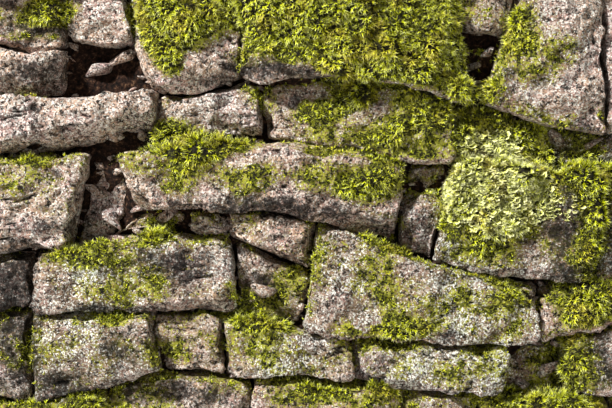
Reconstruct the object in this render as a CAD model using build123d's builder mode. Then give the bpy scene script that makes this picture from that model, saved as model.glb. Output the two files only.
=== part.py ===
from build123d import *
import math
import os
import random

# Dry stone wall: two battered faces of random rubble laid in rough courses, tied by end and through
# stones, packed with hearting and closed by rough cap stones. Nothing binds it but its own weight.
# +X runs along the wall, the seen face looks towards -Y, +Z is up, and the origin is on the ground under
# the middle of the wall. All sizes are in millimetres.

# Overall sizes
wall_length = 1700
base_width = 600
top_width = 390

# Course heights from the ground up
base_course_height = 120
second_course_height = 105
third_course_height = 110
fourth_course_height = 90
fifth_course_height = 120
sixth_course_height = 85
seventh_course_height = 140
eighth_course_height = 80
top_course_height = 155

# How the stones are packed
dry_joint = 0.4  # gap left where two stones bear on each other
hearting_base_width = 200
hearting_top_width = 70
tie_length = 200  # end stones that run from face to face
through_setback = 250  # from the end of the wall to the near side of a through stone
through_length = 120
through_stand_out = 26
usual_stone = 215
length_drift = 36  # how far an upright joint may stray from even spacing
joint_slant = 18
bond = 45  # least distance between an upright joint and the ones above and below it
bed_wave = (-4, 16)  # how far a bed rises under an upright joint, or dips over one
split_share = 0.2  # of the stones that aren't surveyed, those that are two thin ones laid flat
split_height = (0.35, 0.65)  # where the two meet, as a share of the course's height
end_slant = 9  # how far an end stone may lean back from the end of the wall
end_arris = 7
end_turn = 4  # greatest turn of a stone's end at the end of the wall, in degrees
end_inset = (0, 9)  # how far such an end lies back at its middle

# Cap stones
cap_length = 243
cap_thickness = 92
cap_overhang = 24
cap_roughness = 9  # how far a cap's edges and thickness stray from a plain slab
cap_lean = 0.02  # greatest slope of a cap's top
cap_facet_depth = (10, 24)
crown_count = 4  # planes that a cap's top falls away along, round its highest place
crown_inset = (5, 60)  # from that place to where each plane starts to fall
crown_fall = (0.06, 0.15)  # how steeply each falls

# How a stone is dressed, each as a least and a greatest size
arris_inset = (4, 12)
arris_depth = (14, 32)
corner_inset = (10, 24)
corner_depth = (26, 58)
facet_count = 4
facet_share = (0.5, 1.1)  # of half the stone's smaller side
facet_depth = (7, 17)
stand_out = (-6, 12)
face_turn = 3.5  # greatest turn of a stone's face from the wall's, in degrees
sharp_corner = 40  # corners that turn more than this are knocked off, in degrees
arris_overreach = 6  # an arris is cut only where the outline reaches no further than this beyond it

course_heights = (
    base_course_height,
    second_course_height,
    third_course_height,
    fourth_course_height,
    fifth_course_height,
    sixth_course_height,
    seventh_course_height,
    eighth_course_height,
    top_course_height,
)
bed_levels = [sum(course_heights[:n]) for n in range(len(course_heights) + 1)]
body_height = bed_levels[-1]
courses = range(len(course_heights))
through_course = 4
tie_courses = (1, 3, 5, 7)
half_length = wall_length / 2
tie_inner = half_length - tie_length
through_outer = half_length - through_setback
through_inner = through_outer - through_length
batter = math.atan2((base_width - top_width) / 2, body_height)
hearting_batter = math.atan2((hearting_base_width - hearting_top_width) / 2, body_height)

# Upright joints of the stretch that was surveyed on the front face, course by course, each as
# (x at its foot, rise of its foot over the bed, x at its head, rise of its head over the next bed).
surveyed_joints = {
    3: [(-465, 0, -470, 0), (-290, 4, -284, 13), (-85, -4, -78, 27), (140, 5, 148, 8), (250, -3, 244, 3),
        (425, 0, 430, 0)],
    4: [(-386, -6, -389, 4), (-204, 36, -211, 4), (-118, 26, -118, -5), (71, 29, 64, -32),
        (279, 4, 288, -46), (370, 1, 358, -35)],
    5: [(-389, 4, -386, -2), (-90, -8, -118, 60), (-8, -28, 14, 46), (328, -42, 335, -40),
        (520, 0, 512, -10)],
    6: [(-555, 0, -560, 0), (-333, -2, -309, -5), (-239, 57, -266, 4), (125, 6, 143, -11),
        (178, -20, 208, -13), (409, -43, 409, -25), (575, 0, 570, 0)],
    7: [(-515, 0, -525, 0), (-218, 9, -207, -2), (-58, 16, -62, 20), (208, -13, 204, -6),
        (356, -29, 339, -43), (465, -15, 455, -40)],
    8: [(-565, 0, -555, 0), (-344, -2, -345, 0), (-225, 8, -262, 0), (-92, 22, -85, 0),
        (238, -12, 205, 0), (250, -12, 300, 0), (424, -53, 418, 0)],
}

# Bends in the surveyed beds between their upright joints: bed number and (x, rise)
surveyed_bends = {8: [(-8, 30), (75, 25)]}

# Surveyed stones that lie in layers inside one course. The key is the course and a place along it, and
# each line parts what lies above the ones before it: (x, rise over the bed, x, rise over the bed).
surveyed_layers = {
    (5, -250): [(-253, 108, -113, 105), (-168, 60, -172, 190)],
    (5, -50): [(-113, 105, -4, 60)],
    (5, 300): [(258, 54, 339, 13)],
    (6, 160): [(125, 82, 208, 86)],
    (8, -450): [(-460, 72, -344, 64)],
    (8, -290): [(-345, 74, -240, 70)],
    (8, 244): [(200, 84, 300, 86)],
}

# Surveyed stones that stand forward of the face or lie back from it: course, layer, place along it
surveyed_stand_out = {
    (8, 0, -450): 2, (8, 1, -450): -14, (8, 0, -290): -70, (8, 1, -290): -6, (8, 0, -170): 6,
    (8, 0, 70): 24, (8, 0, 244): -80, (8, 1, 244): 4, (8, 0, 350): 26, (7, 0, -350): 8,
    (7, 0, -140): -10, (7, 0, 70): -5, (7, 0, 280): -14, (7, 0, 400): -26, (6, 0, -450): 6,
    (6, 0, -290): -42, (6, 0, -50): 22, (6, 1, 160): -34, (6, 0, 160): -6, (6, 0, 300): 16,
    (6, 0, 490): 6, (5, 0, -500): -4, (5, 0, -250): 8, (5, 1, -250): -12, (5, 2, -250): -36,
    (5, 0, -50): -20, (5, 1, -50): 6, (5, 0, 150): 20, (5, 1, 300): 4, (5, 0, 430): 2,
    (4, 0, -430): -2, (4, 0, -300): 16, (4, 0, -160): -10, (4, 0, -30): 4, (4, 0, 180): 12,
    (4, 0, 320): -24, (4, 0, 420): 4, (3, 0, -180): -4, (3, 0, 30): 0,
}

# Lines across the faces of surveyed stones, beyond which the stone falls back: undercuts, shoulders and
# weathered tops. Each is (x, rise over the bed, x, rise over the bed, fall for each millimetre), and the
# stone falls back on the right of the line.
surveyed_falls = {
    (8, 0, -450): [(-428, 27, -342, 55, 1.0)],
    (8, 0, -170): [(-218, 16, -85, 52, 1.4)],
    (8, 0, 70): [(-88, 52, 132, 18, 0.8)],
    (8, 0, 350): [(330, 114, 252, 18, 0.5), (428, 38, 377, 108, 0.7), (272, -29, 412, -43, 1.0)],
    (7, 0, -350): [(-428, 21, -214, 65, 1.6)],
    (7, 0, -140): [(-169, 96, -204, 76, 0.8), (-113, 13, -62, 48, 0.8)],
    (6, 0, -450): [(-428, 12, -328, 14, 1.2)],
    (6, 0, -50): [(-148, 68, 129, 56, 1.3)],
    (6, 0, 160): [(167, -14, 200, 55, 0.7), (160, 69, 127, 20, 0.8)],
    (6, 0, 300): [(209, -11, 409, -30, 1.0)],
    (5, 0, -250): [(-274, 13, -92, 21, 1.2), (-113, 98, -372, 91, 0.6)],
    (5, 0, 150): [(335, 21, 265, 56, 0.6), (279, -39, 339, -10, 0.8), (55, 102, -6, 35, 0.5)],
    (4, 0, -300): [(-365, 4, -207, 54, 1.3)],
    (4, 0, 180): [(70, 40, 244, 1, 1.3)],
}

# Stones large enough to be nodes of their own: course, layer, place along it
main_stone_places = {
    (8, 0, -170): "top_left_block",
    (8, 0, 70): "mossy_boulder",
    (8, 0, 350): "round_boulder",
    (7, 0, -350): "layered_slab",
    (7, 0, 70): "cracked_stone",
    (6, 0, -450): "left_layered_stone",
    (6, 0, -50): "long_central_stone",
    (6, 0, 160): "slanted_wedge",
    (6, 0, 300): "mossy_block",
    (5, 0, -250): "broad_left_stone",
    (5, 1, -50): "striated_stone",
    (5, 0, 150): "broad_right_stone",
    (4, 0, -300): "lichened_stone",
    (4, 0, -30): "level_stone",
    (4, 0, 180): "long_lower_stone",
}


def half_width(height):
    """Half the wall's thickness at a height."""
    return base_width / 2 - height * math.tan(batter)


def is_level(bed, x):
    """Beds are level at the ground, at the top, and where a stone crosses the wall."""
    if bed in (0, len(courses)) or abs(x) >= tie_inner:
        return True
    return bed in (through_course, through_course + 1) and through_inner <= abs(x) <= through_outer


def bed_point(bed, x, rise):
    """A point of a bed line in the plane of the face, from its rise over the bed's own level."""
    ground_gap = dry_joint / 2 if bed == 0 else 0
    return (x, bed_levels[bed] - ground_gap + (0 if is_level(bed, x) else rise))


def clear_of(x, others):
    return min((abs(x - other) for other in others), default=bond)


def joints_between(start, stop, others, chance):
    """Upright joints between two fixed ones, drifting to stay clear of those above and below."""
    count = max(1, round((stop - start) / usual_stone))
    places = []
    for n in range(1, count):
        even = start + (stop - start) * n / count
        tries = [even + chance.uniform(-length_drift, length_drift) for _ in range(12)]
        places.append(max(tries, key=lambda x: min(bond, clear_of(x, others))))
    return [(x, chance.uniform(*bed_wave), x + chance.uniform(-joint_slant, joint_slant),
             -chance.uniform(*bed_wave)) for x in places]


def face_runs(course):
    """The stretches of a course that are laid with face stones, between ties and through stones."""
    if course in tie_courses:
        return [(-tie_inner, tie_inner)]
    if course == through_course:
        return [(-half_length, -through_outer), (-through_inner, through_inner),
                (through_outer, half_length)]
    return [(-half_length, half_length)]


def lay_out_face(survey, seed):
    """For each course, its runs of stones as lists of upright joints from left to right."""
    chance = random.Random(seed)
    layout = []
    heads = []
    for course in courses:
        feet_above = [joint[0] for joint in survey.get(course + 1, [])]
        others = heads + feet_above
        runs = []
        for start, stop in face_runs(course):
            known = [j for j in survey.get(course, []) if start + bond < j[0] < stop - bond]
            if known:
                joints = [upright(start, chance), *joints_between(start, known[0][0], others, chance),
                          *known, *joints_between(known[-1][0], stop, others, chance),
                          upright(stop, chance)]
            else:
                joints = [upright(start, chance), *joints_between(start, stop, others, chance),
                          upright(stop, chance)]
            runs.append(joints)
        heads = [joint[2] for joints in runs for joint in joints]
        layout.append(runs)
    return layout


def upright(x, chance):
    """A plumb joint at a tie or a through stone, or the slightly leaning end of the wall."""
    if abs(x) < half_length:
        return (x, 0, x, 0)
    side = math.copysign(1, x)
    return (x, 0, x - side * chance.uniform(0, end_slant), 0)


def bed_lines(layout, bends):
    """Each bed as a line of points: the heads of the joints below it and the feet of those above."""
    beds = []
    for bed in range(len(courses) + 1):
        points = {}
        if bed > 0:
            for joints in layout[bed - 1]:
                points.update({round(j[2]): bed_point(bed, j[2], j[3]) for j in joints})
        if bed < len(courses):
            for joints in layout[bed]:
                points.update({round(j[0]): bed_point(bed, j[0], j[1]) for j in joints})
        points.update({round(x): bed_point(bed, x, rise) for x, rise in bends.get(bed, [])})
        beds.append([points[x] for x in sorted(points)])
    return beds


def without_straight_points(points):
    """Leaves out the points that lie on a straight line between their neighbours."""
    kept = []
    for before, point, after in zip(points[-1:] + points[:-1], points, points[1:] + points[:1]):
        turn = ((point[0] - before[0]) * (after[1] - before[1])
                - (point[1] - before[1]) * (after[0] - before[0]))
        if abs(turn) > 0.5 * math.dist(before, after):
            kept.append(point)
    return kept


def stone_outline(beds, course, left, right):
    """The outline of one stone on the face, from its foot round to its left head."""
    foot = [p for p in beds[course] if left[0] + 1 < p[0] < right[0] - 1]
    head = [p for p in beds[course + 1] if left[2] + 1 < p[0] < right[2] - 1]
    corners = [bed_point(course, left[0], left[1]), *foot, bed_point(course, right[0], right[1]),
               bed_point(course + 1, right[2], right[3]), *reversed(head),
               bed_point(course + 1, left[2], left[3])]
    return without_straight_points(corners)


def one_side(points, start, stop):
    """The part of an outline to the left of the line from start to stop."""
    kept = []

    def offset_from_line(point):
        return ((stop[0] - start[0]) * (point[1] - start[1])
                - (stop[1] - start[1]) * (point[0] - start[0]))

    for before, point in zip(points[-1:] + points[:-1], points):
        here, there = offset_from_line(point), offset_from_line(before)
        if here * there < 0:
            share = there / (there - here)
            kept.append(tuple(b + (p - b) * share for b, p in zip(before, point)))
        if here >= 0:
            kept.append(point)
    return without_straight_points(kept)


def lines_in(layers, course, left, right):
    """The surveyed lines that part the stones between two joints of a course."""
    for (layered_course, place), lines in layers.items():
        if layered_course == course and left < place < right:
            return lines
    return []


def is_surveyed(survey, course, left, right):
    """True where the stone between two joints shows on the surveyed stretch."""
    places = [joint[0] for joint in survey.get(course, [])]
    return bool(places) and left < max(places) and right > min(places)


def chance_split(course, left, right, chance):
    """Now and then a line that parts a stone into two thin ones, as (x, rise, x, rise)."""
    if chance.random() > split_share or course in tie_courses or left < -tie_inner or right > tie_inner:
        return []
    height = course_heights[course]
    return [(left, height * chance.uniform(*split_height), right, height * chance.uniform(*split_height))]


def layers_of(outline, course, lines):
    """One outline, or several where the stones of a course lie in layers."""
    outlines = [outline]
    for x0, rise0, x1, rise1 in lines:
        start = (x0, bed_levels[course] + rise0)
        stop = (x1, bed_levels[course] + rise1)
        rest = outlines.pop()
        outlines += [one_side(rest, stop, start), one_side(rest, start, stop)]
    return outlines


def on_face(bench, face, point):
    """The point of a face straight out from a point of the outline."""
    base = bench.from_local_coords(Vector(*point, 0))
    reach = (face.origin - base).dot(face.z_dir) / bench.z_dir.dot(face.z_dir)
    return base + bench.z_dir * reach


def arris_cut(edge, side, face, inset, depth):
    """The plane that knocks the arris off where a side and a face meet."""
    across = side - face * side.dot(face)
    return Plane(origin=edge - across.normalized() * inset, z_dir=side * depth + face * inset)


def overreach(outline, place, side):
    """How far an outline reaches beyond a place in one direction of its own plane."""
    return max((x - place[0]) * side[0] + (y - place[1]) * side[1] for x, y in outline)


def dressing(bench, outline, face, facet_depths, chance):
    """The planes that knock off a face's arrises and corners and break its middle."""
    cuts = []
    outward = []
    for start, stop in zip(outline, outline[1:] + outline[:1]):
        length = math.dist(start, stop)
        side = ((stop[1] - start[1]) / length, (start[0] - stop[0]) / length)
        middle = ((start[0] + stop[0]) / 2, (start[1] + stop[1]) / 2)
        outward.append(side)
        if overreach(outline, middle, side) < arris_overreach:
            cuts.append(arris_cut(on_face(bench, face, middle), in_space(bench, side), face.z_dir,
                                  chance.uniform(*arris_inset), chance.uniform(*arris_depth)))
    for corner, before, after in zip(outline, outward[-1:] + outward[:-1], outward):
        turn = math.degrees(math.acos(min(1, before[0] * after[0] + before[1] * after[1])))
        side = (before[0] + after[0], before[1] + after[1])
        if turn > sharp_corner and overreach(outline, corner, side) < arris_overreach:
            cuts.append(arris_cut(on_face(bench, face, corner), in_space(bench, side), face.z_dir,
                                  chance.uniform(*corner_inset), chance.uniform(*corner_depth)))
    half = min(max(axis) - min(axis) for axis in zip(*outline)) / 2
    for n in range(facet_count):
        turn = 2 * math.pi * (n + chance.random()) / facet_count
        side = (math.cos(turn), math.sin(turn))
        furthest = max(outline, key=lambda p: p[0] * side[0] + p[1] * side[1])
        cuts.append(arris_cut(on_face(bench, face, furthest), in_space(bench, side), face.z_dir,
                              half * chance.uniform(*facet_share), chance.uniform(*facet_depths)))
    return cuts


def in_space(bench, side):
    """A direction of the outline's own plane as a unit direction in space."""
    return (bench.x_dir * side[0] + bench.y_dir * side[1]).normalized()


def fall_cut(bench, face, fall_line):
    """The plane that a stone falls back along, on the right of a line across its face."""
    x0, y0, x1, y1, fall = fall_line
    side = in_space(bench, (y1 - y0, x0 - x1))
    return Plane(origin=on_face(bench, face, (x0, y0)), z_dir=side * fall + face.z_dir)


def wall_face(outline, forward, direction, chance):
    """The plane of one stone's face: the wall's own face, moved forward and turned a little."""
    middle = [sum(axis) / len(outline) for axis in zip(*outline)]
    tilt = batter + math.radians(chance.uniform(-face_turn, face_turn))
    turn = math.radians(chance.uniform(-face_turn, face_turn))
    origin = (middle[0], direction * (half_width(middle[1]) + forward), middle[1])
    outward = (math.sin(turn), direction * math.cos(turn) * math.cos(tilt), math.sin(tilt))
    return Plane(origin=origin, z_dir=outward)


def hearting_side(direction, clearance):
    """The plane down one side of the hearting, where the tails of the face stones end."""
    outward = (0, direction * math.cos(hearting_batter), math.sin(hearting_batter))
    return Plane(origin=(0, direction * (hearting_base_width / 2 + clearance), 0), z_dir=outward)


def end_cuts(outline, further, chance):
    """The rough end of a stone that shows at the end of the wall: a turned face and two facets."""
    reach = max(outline, key=lambda point: abs(point[0]))[0]
    if abs(reach) < half_length - end_slant - 1:
        return []
    height = sum(point[1] for point in outline) / len(outline)
    side = math.copysign(1, reach)
    place = (side * (half_length - further - chance.uniform(*end_inset)), 0, height)
    cuts = []
    for turn, tip in ((0, chance.uniform(-1, 1)), (1, chance.uniform(0, 1)), (-1, chance.uniform(-1, 0))):
        across = math.tan(math.radians(end_turn)) * (turn + chance.uniform(-0.5, 0.5))
        cuts.append(Plane(origin=place, z_dir=(side, across, tip * math.tan(math.radians(end_turn)))))
    return cuts


def section_of(outline):
    """An outline drawn half a joint inside its neighbours, with the wall's own end corners knocked off."""
    with BuildSketch(Plane.XZ) as section:
        with BuildLine():
            Polyline(*outline, close=True)
        make_face()
        offset(amount=-dry_joint / 2, kind=Kind.INTERSECTION)
        end_corners = vertices().filter_by(lambda corner: abs(corner.X) > half_length - end_slant - 1)
        if end_corners:
            chamfer(end_corners, length=end_arris)
    return section.sketch


def face_stone(outline, forward, falls, chance):
    """A stone of the front face, from the hearting out to its dressed face."""
    face = wall_face(outline, forward, -1, chance)
    cuts = dressing(Plane.XZ, outline, face, facet_depth, chance)
    cuts += [fall_cut(Plane.XZ, face, line) for line in falls] + end_cuts(outline, 0, chance)
    with BuildPart() as stone:
        extrude(section_of(outline), amount=base_width)
        split(bisect_by=hearting_side(-1, dry_joint), keep=Keep.TOP)
        split(bisect_by=face, keep=Keep.BOTTOM)
        for cut in cuts:
            split(bisect_by=cut, keep=Keep.BOTTOM)
    return stone.part


def crossing_stone(outline, forward, chance):
    """A stone that runs through the wall from face to face."""
    with BuildPart() as stone:
        extrude(section_of(outline), amount=base_width, both=True)
        for direction in (-1, 1):
            face = wall_face(outline, forward, direction, chance)
            split(bisect_by=face, keep=Keep.BOTTOM)
            for cut in dressing(Plane.XZ, outline, face, facet_depth, chance):
                split(bisect_by=cut, keep=Keep.BOTTOM)
        for cut in end_cuts(outline, 0, chance):
            split(bisect_by=cut, keep=Keep.BOTTOM)
    return stone.part


def packing_stone(outline, chance):
    """Packing between the tails of the two faces."""
    with BuildPart() as packing:
        extrude(section_of(outline), amount=base_width, both=True)
        for direction in (-1, 1):
            split(bisect_by=hearting_side(direction, 0), keep=Keep.BOTTOM)
        for cut in end_cuts(outline, end_inset[1], chance):
            split(bisect_by=cut, keep=Keep.BOTTOM)
    return packing.part


def crown_cuts(top, chance):
    """The planes that a cap's top falls away along."""
    cuts = []
    for n in range(crown_count):
        turn = 2 * math.pi * (n + chance.random()) / crown_count
        side = Vector(math.cos(turn), math.sin(turn), 0)
        start = top.origin + side * chance.uniform(*crown_inset)
        cuts.append(Plane(origin=start, z_dir=top.z_dir + side * chance.uniform(*crown_fall)))
    return cuts


def cap_stone(left, right, chance):
    """A cap slab across the top, between two joints given as (x at the front, x at the back)."""
    seat = body_height + dry_joint / 2
    reach = top_width / 2 + cap_overhang
    front, back = (reach - chance.uniform(0, cap_roughness) for _ in range(2))
    bulge = chance.uniform(0.35, 0.65)
    outline = [
        (left[0], -front),
        (left[0] + (right[0] - left[0]) * bulge, -front - chance.uniform(0, cap_roughness)),
        (right[0], -front - chance.uniform(-cap_roughness, cap_roughness) / 2),
        (right[1], back),
        (right[1] + (left[1] - right[1]) * bulge, back + chance.uniform(0, cap_roughness)),
        (left[1], back + chance.uniform(-cap_roughness, cap_roughness) / 2),
    ]
    height = cap_thickness - chance.uniform(0, cap_roughness)
    lean = (chance.uniform(-cap_lean, cap_lean), chance.uniform(-cap_lean, cap_lean), 1)
    top = Plane(origin=((left[0] + right[0]) / 2, 0, seat + height), z_dir=lean)
    with BuildPart() as cap:
        with BuildSketch(Plane.XY.offset(seat)):
            with BuildLine():
                Polyline(*outline, close=True)
            make_face()
            offset(amount=-dry_joint / 2, kind=Kind.INTERSECTION)
        extrude(amount=2 * cap_thickness)
        split(bisect_by=top, keep=Keep.BOTTOM)
        for cut in dressing(Plane.XY, outline, top, cap_facet_depth, chance) + crown_cuts(top, chance):
            split(bisect_by=cut, keep=Keep.BOTTOM)
    return cap.part


def level_outline(course, start, stop):
    """The outline of a stone between level beds and plumb joints, as (x, x at its head) pairs."""
    low, high = bed_point(course, 0, 0)[1], bed_levels[course + 1]
    return [(start[0], low), (stop[0], low), (stop[1], high), (start[1], high)]


def lay_face(side, survey, layers, bends, seed):
    """Lays every stone of one face, and returns them by the name of the node that holds them."""
    chance = random.Random(seed)
    layout = lay_out_face(survey, seed)
    beds = bed_lines(layout, bends)
    stones = {}
    for course in courses:
        for joints in layout[course]:
            for left, right in zip(joints, joints[1:]):
                outline = stone_outline(beds, course, left, right)
                lines = lines_in(layers, course, left[0], right[0])
                if not lines and not is_surveyed(survey, course, left[0], right[0]):
                    lines = chance_split(course, left[0], right[0], chance)
                for layer, part_outline in enumerate(layers_of(outline, course, lines)):
                    name = f"{side}_course_{course + 1}"
                    forward = chance.uniform(*stand_out)
                    falls = []
                    if survey:
                        place = (course, layer, left[0], right[0])
                        name = look_up(main_stone_places, place, name)
                        forward = look_up(surveyed_stand_out, place, forward)
                        falls = above_ground(course, look_up(surveyed_falls, place, falls))
                    stones.setdefault(name, []).append(face_stone(part_outline, forward, falls, chance))
    return stones


def above_ground(course, falls):
    """Lines given by their rise over a course's bed, as heights above the ground."""
    level = bed_levels[course]
    return [(x0, level + rise0, x1, level + rise1, fall) for x0, rise0, x1, rise1, fall in falls]


def look_up(table, place, otherwise):
    """What a table gives for the stone of a course and layer that lies between two joints."""
    course, layer, start, stop = place
    for (table_course, table_layer, x), value in table.items():
        if (table_course, table_layer) == (course, layer) and start < x < stop:
            return value
    return otherwise


def export_node(name, stones, mirrored=False):
    """Writes one node: stones that bear on each other and stay separate solids."""
    with BuildPart() as node:
        add(stones)
        if mirrored:
            mirror(about=Plane.XZ, mode=Mode.REPLACE)
    node.part.label = name
    export_step(node.part, f"parts/{name}.step")


os.makedirs("parts", exist_ok=True)

# The two faces
for name, stones in lay_face("front", surveyed_joints, surveyed_layers, surveyed_bends, 11).items():
    export_node(name, stones)
for name, stones in lay_face("back", {}, {}, {}, 29).items():
    export_node(name, stones, mirrored=True)

# The stones that cross the wall: ties in every other course at its ends, and two through stones
chance = random.Random(5)
for side, name in ((-1, "left_end_ties"), (1, "right_end_ties")):
    ties = []
    for course in tie_courses:
        end = (side * half_length, side * (half_length - chance.uniform(0, end_slant)))
        inner = (side * tie_inner, side * tie_inner)
        ties.append(crossing_stone(level_outline(course, *sorted((end, inner))), 0, chance))
    export_node(name, ties)
through_outlines = [
    level_outline(through_course, (start, start), (start + through_length, start + through_length))
    for start in (-through_outer, through_inner)
]
export_node("through_stones", [crossing_stone(o, through_stand_out, chance) for o in through_outlines])

# The packing: hearting in three lifts, and blocks that close the ends of the courses without ties
for name, low, high, reach in (
    ("lower_hearting", 0, through_course, tie_inner),
    ("middle_hearting", through_course, through_course + 1, through_inner),
    ("upper_hearting", through_course + 1, len(courses), tie_inner),
):
    floor, top = bed_point(low, 0, 0)[1], bed_levels[high]
    lift = [(-reach, floor), (reach, floor), (reach, top), (-reach, top)]
    export_node(name, [packing_stone(lift, chance)])
for side, name in ((-1, "left_end_packing"), (1, "right_end_packing")):
    blocks = []
    for course in courses:
        if course not in tie_courses:
            start = side * (through_outer if course == through_course else tie_inner)
            end = (side * half_length, side * (half_length - chance.uniform(0, end_slant)))
            blocks.append(packing_stone(level_outline(course, *sorted((end, (start, start)))), chance))
    export_node(name, blocks)

# The cap stones
cap_count = max(1, round(wall_length / cap_length))
cap_joints = [(-half_length, -half_length)]
for n in range(1, cap_count):
    even = -half_length + wall_length * n / cap_count + chance.uniform(-length_drift, length_drift)
    cap_joints.append((even - chance.uniform(-joint_slant, joint_slant), even))
cap_joints.append((half_length, half_length))
export_node("cap_stones", [cap_stone(*pair, chance) for pair in zip(cap_joints, cap_joints[1:])])
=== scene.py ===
import bmesh
import bpy
import math
import numpy as np
import random
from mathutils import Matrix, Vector, noise
from mathutils.bvhtree import BVHTree


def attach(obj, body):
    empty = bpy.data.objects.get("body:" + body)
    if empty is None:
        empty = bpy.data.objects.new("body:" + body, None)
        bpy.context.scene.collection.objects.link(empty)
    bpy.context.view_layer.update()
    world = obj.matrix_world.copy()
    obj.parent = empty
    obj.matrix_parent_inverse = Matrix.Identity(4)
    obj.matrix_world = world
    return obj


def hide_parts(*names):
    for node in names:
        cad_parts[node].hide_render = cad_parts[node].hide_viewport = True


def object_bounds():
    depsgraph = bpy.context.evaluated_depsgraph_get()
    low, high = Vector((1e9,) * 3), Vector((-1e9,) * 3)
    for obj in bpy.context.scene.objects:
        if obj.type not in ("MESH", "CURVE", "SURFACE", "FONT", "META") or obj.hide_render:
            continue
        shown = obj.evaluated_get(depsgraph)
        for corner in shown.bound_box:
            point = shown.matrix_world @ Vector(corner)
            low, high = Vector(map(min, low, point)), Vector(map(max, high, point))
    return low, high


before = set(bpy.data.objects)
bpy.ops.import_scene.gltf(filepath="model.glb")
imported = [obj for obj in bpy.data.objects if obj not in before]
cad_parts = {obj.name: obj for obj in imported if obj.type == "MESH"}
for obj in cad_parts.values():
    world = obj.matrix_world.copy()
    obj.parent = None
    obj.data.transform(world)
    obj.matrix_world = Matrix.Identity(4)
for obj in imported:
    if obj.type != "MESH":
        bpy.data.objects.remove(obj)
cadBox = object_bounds()
collection = bpy.context.scene.collection
print("frame loaded", len(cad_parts), "nodes")

# The wall in metres: the photographed face looks towards -Y and both faces lean in. What lies above the
# bedding is a cap, and a stone that comes within the end margin is an end stone.
wall = {"height": 1.005, "baseHalf": 0.300, "topHalf": 0.195, "length": 1.700, "bedding": 0.006,
        "endMargin": 0.012}
slope = (wall["baseHalf"] - wall["topHalf"]) / wall["height"]

# The stretch that the photograph shows, which is dressed most finely
shown = {"halfWidth": 0.455, "bottom": 0.395}


def hexColour(text):  # sRGB hex to linear
    values = [int(text[i:i + 2], 16) / 255 for i in (1, 3, 5)]
    return [v / 12.92 if v <= 0.04045 else ((v + 0.055) / 1.055) ** 2.4 for v in values] + [1.0]


def addNode(tree, kind, settings={}, output=0):
    # Sets plain values, links sockets, and gives one of the node's outputs.
    node = tree.nodes.new("ShaderNode" + kind)
    for name, value in settings.items():
        if isinstance(value, bpy.types.NodeSocket):
            tree.links.new(value, node.inputs[name])
        elif name == "stops":
            ramp = node.color_ramp.elements
            while len(ramp) < len(value):
                ramp.new(0.5)
            for element, (place, colour) in zip(ramp, value):
                element.position = place
                element.color = colour
        elif isinstance(name, int) or name in node.inputs:
            node.inputs[name].default_value = value
        else:
            setattr(node, name, value)
    return node.outputs[output] if len(node.outputs) else None


# Settings that many nodes share
smooth = {"interpolation_type": "SMOOTHSTEP", 3: 0.0}
mix = {"data_type": "RGBA", "blend_type": "MIX"}
times = {"operation": "MULTIPLY"}
plus = {"operation": "ADD"}


def newMaterial(name):
    material = bpy.data.materials.new(name)
    material.use_nodes = True
    material.node_tree.nodes.clear()
    return material, material.node_tree


def addObject(name, data):
    thing = bpy.data.objects.new(name, data)
    collection.objects.link(thing)
    return thing


def smoothstep(low, high, value):
    t = min(1.0, max(0.0, (value - low) / (high - low)))
    return t * t * (3 - 2 * t)


def layCoats(tree, colour, coats):
    # Lays coats over a colour. Each has a value, where on it the coat starts and is full, how much it
    # hides, and its own colour.
    shares = {}
    for name, (value, low, high, most, coat) in coats.items():
        shares[name] = addNode(tree, "MapRange", {**smooth, 0: value, 1: low, 2: high, 4: most})
        colour = addNode(tree, "Mix", {**mix, 0: shares[name], 6: colour, 7: coat}, 2)
    return colour, shares


# Weathered granite gneiss: pale feldspar, grey quartz and dark mica in a mass that splits along its
# bed. It is broken, not sawn, so it is matt all over. Lichen crusts it and moss and algae stain it.
granite = {
    "pinkGrey": "#b8958c", "buff": "#c6a68d", "foliationGrey": "#5d5049",
    "mica": "#1b1512", "quartz": "#7d716d", "feldspar": "#fff8ef", "rust": "#8a5a3c",
    "dirtAndShadeColour": "#150e08", "crustPale": "#f6f6ea", "crustGreen": "#b6c3a8", "film": "#766028",
    "patina": "#4a3a2c", "mossMat": "#85881a", "mossBright": "#b3b330",
    "roughness": 0.85, "specular": 0.3, "bumpMm": 5.0,
    # Crystals and grains in millimetres. Grains of 1 mm are finer than a pixel here, so they are drawn
    # about twice as coarse.
    "cells": {"crystals": 5.5, "grains": 2.2},
    # Cloudy patterns: size in millimetres, detail, roughness, and the stretch of those that follow the bed
    "clouds": {
        "mottle": (50, 4.0, 0.6), "rust": (70, 4.0, 0.6), "foliation": (8, 5.0, 0.7, (0.16, 0.3, 1.0)),
        "patina": (22, 5.0, 0.7), "film": (18, 5.0, 0.7), "drift": (48, 5.0, 0.7),
        "specks": (3.0, 3.0, 0.7), "crust": (14, 5.0, 0.75), "stipple": (4.0, 4.0, 0.8),
        "pores": (6.5, 4.0, 0.8), "crumbs": (8.0, 4.0, 0.8), "torn": (4.2, 3.0, 0.8),
        "mat": (3.2, 3.0, 0.7), "relief": (6, 4.0, 0.75, (0.6, 0.8, 1.0)),
    },
}


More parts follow.
